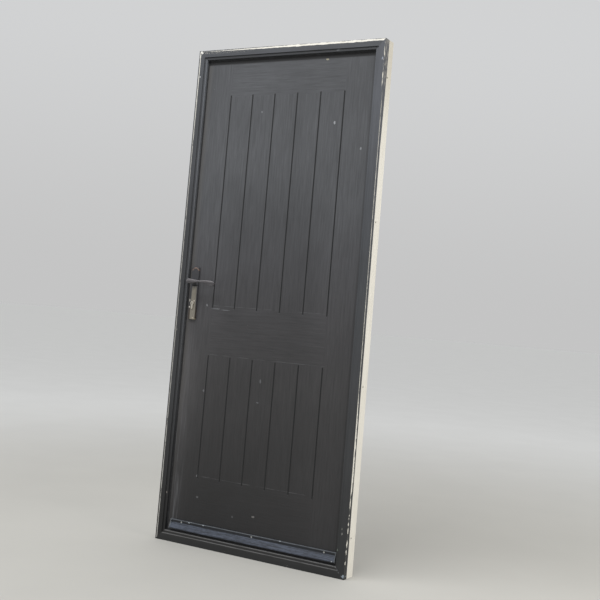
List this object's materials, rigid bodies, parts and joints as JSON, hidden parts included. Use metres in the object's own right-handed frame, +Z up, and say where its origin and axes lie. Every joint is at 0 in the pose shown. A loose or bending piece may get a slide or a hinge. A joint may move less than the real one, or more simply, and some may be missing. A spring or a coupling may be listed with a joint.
{
  "type": "panelled front door with frame",
  "caption": "Hinged front door leaf with vertical moulded board grooves in a mitred four-sided frame with threshold, lever handles, hook lock and weather bar.",
  "frame": {"origin": "under the middle of the threshold, halfway through the frame's depth", "axes": "+X to the right seen from outside, towards the hinges; +Y into the house; +Z up"},
  "size_m": [0.9, 0.1544, 2.09],
  "materials": {
    "foiled_frame": "dark grey foil on the outside, off-white behind it",
    "gasket_rubber": "matt",
    "zinc_steel": "bright zinc plated",
    "keep_steel": "brushed",
    "bolt_steel": "satin",
    "outer_skin_grp": "anthracite woodgrain, weathered",
    "inner_skin_grp": "white woodgrain",
    "timber": "planed softwood",
    "foam": "rigid foam",
    "bar_aluminium": "dark paint, rubbed at the edge",
    "bar_cap_plastic": "moulded",
    "bar_screw_steel": "plain",
    "outer_handle_metal": "worn coating, bare metal at the edges",
    "inner_handle_metal": "polished",
    "cylinder_brass": "nickel plated, worn",
    "hinge_metal": "white coated",
    "hinge_pin_steel": "zinc plated"
  },
  "bodies": {
    "frame": {"frame_head": "foiled_frame", "frame_lock_jamb": "foiled_frame", "frame_hinge_jamb": "foiled_frame", "frame_threshold": "foiled_frame", "gasket_head": "gasket_rubber", "gasket_lock_jamb": "gasket_rubber", "gasket_hinge_jamb": "gasket_rubber", "gasket_threshold": "gasket_rubber", "steel_head": "zinc_steel", "steel_lock_jamb": "zinc_steel", "steel_hinge_jamb": "zinc_steel", "steel_threshold": "zinc_steel", "bottom_hook_keep": "keep_steel", "centre_keep": "keep_steel", "top_hook_keep": "keep_steel", "keep_screws": "zinc_steel", "hinge_frame_screws": "hinge_pin_steel", "bottom_hinge_frame_part": "hinge_metal", "middle_hinge_frame_part": "hinge_metal", "top_hinge_frame_part": "hinge_metal", "bottom_hinge_pin": "hinge_pin_steel", "middle_hinge_pin": "hinge_pin_steel", "top_hinge_pin": "hinge_pin_steel"},
    "leaf": {"outer_skin": "outer_skin_grp", "inner_skin": "inner_skin_grp", "lock_stile": "timber", "hinge_stile": "timber", "top_timber": "timber", "bottom_timber": "timber", "foam_core": "foam", "weather_bar": "bar_aluminium", "bar_end_caps": "bar_cap_plastic", "bar_screws": "bar_screw_steel", "faceplate": "keep_steel", "faceplate_screws": "zinc_steel", "gearbox_case": "zinc_steel", "bottom_hook_case": "zinc_steel", "top_hook_case": "zinc_steel", "cylinder_body": "cylinder_brass", "cylinder_screw": "zinc_steel", "outer_plate": "outer_handle_metal", "inner_plate": "inner_handle_metal", "plate_bolts": "inner_handle_metal", "hinge_leaf_screws": "hinge_pin_steel", "bottom_hinge_leaf_part": "hinge_metal", "middle_hinge_leaf_part": "hinge_metal", "top_hinge_leaf_part": "hinge_metal"},
    "handles": {"outer_lever": "outer_handle_metal", "inner_lever": "inner_handle_metal", "spindle": "zinc_steel", "lever_grub_screws": "zinc_steel", "follower_hub": "zinc_steel"},
    "latch": {"latch_bolt": "bolt_steel"},
    "deadbolt": {"deadbolt": "bolt_steel"},
    "rail": {"drive_rail": "zinc_steel"},
    "bottom_hook": {"bottom_hook": "bolt_steel"},
    "top_hook": {"top_hook": "bolt_steel"},
    "key_plugs": {"outer_plug": "cylinder_brass", "inner_plug": "cylinder_brass", "cylinder_cam": "cylinder_brass"}
  },
  "joints": [
    {"name": "leaf_swing", "type": "hinge", "parent": "frame", "child": "leaf", "pos_m": [0.424, 0.044, 0], "axis": [0, 0, -1], "range_deg": [0, 100]},
    {"name": "lever_turn", "type": "hinge", "parent": "leaf", "child": "handles", "pos_m": [-0.374, 0.005, 1.088], "axis": [0, 1, 0], "range_deg": [-45, 40], "stiffness_Nm_per_rad": 6, "springref_deg": -2.86},
    {"name": "latch_slide", "type": "slide", "parent": "leaf", "child": "latch", "axis": [-1, 0, 0], "range_m": [0, 0.012]},
    {"name": "deadbolt_slide", "type": "slide", "parent": "leaf", "child": "deadbolt", "axis": [-1, 0, 0], "range_m": [0, 0.02]},
    {"name": "rail_slide", "type": "slide", "parent": "leaf", "child": "rail", "axis": [0, 0, 1], "range_m": [0, 0.02]},
    {"name": "bottom_hook_swing", "type": "hinge", "parent": "leaf", "child": "bottom_hook", "pos_m": [-0.396, 0.005, 0.311], "axis": [0, 1, 0], "range_deg": [0, 90]},
    {"name": "top_hook_swing", "type": "hinge", "parent": "leaf", "child": "top_hook", "pos_m": [-0.396, 0.005, 1.779], "axis": [0, 1, 0], "range_deg": [0, 90]},
    {"name": "plug_turn", "type": "hinge", "parent": "leaf", "child": "key_plugs", "pos_m": [-0.374, 0.005, 0.996], "axis": [0, 1, 0], "range_deg": [0, 360]}
  ],
  "couplings": [
    {"joint": "bottom_hook_swing", "follows": "rail_slide", "rad_per_m": 78.539},
    {"joint": "top_hook_swing", "follows": "rail_slide", "rad_per_m": 78.539},
    {"joint": "plug_turn", "follows": "deadbolt_slide", "rad_per_m": 314.15}
  ]
}
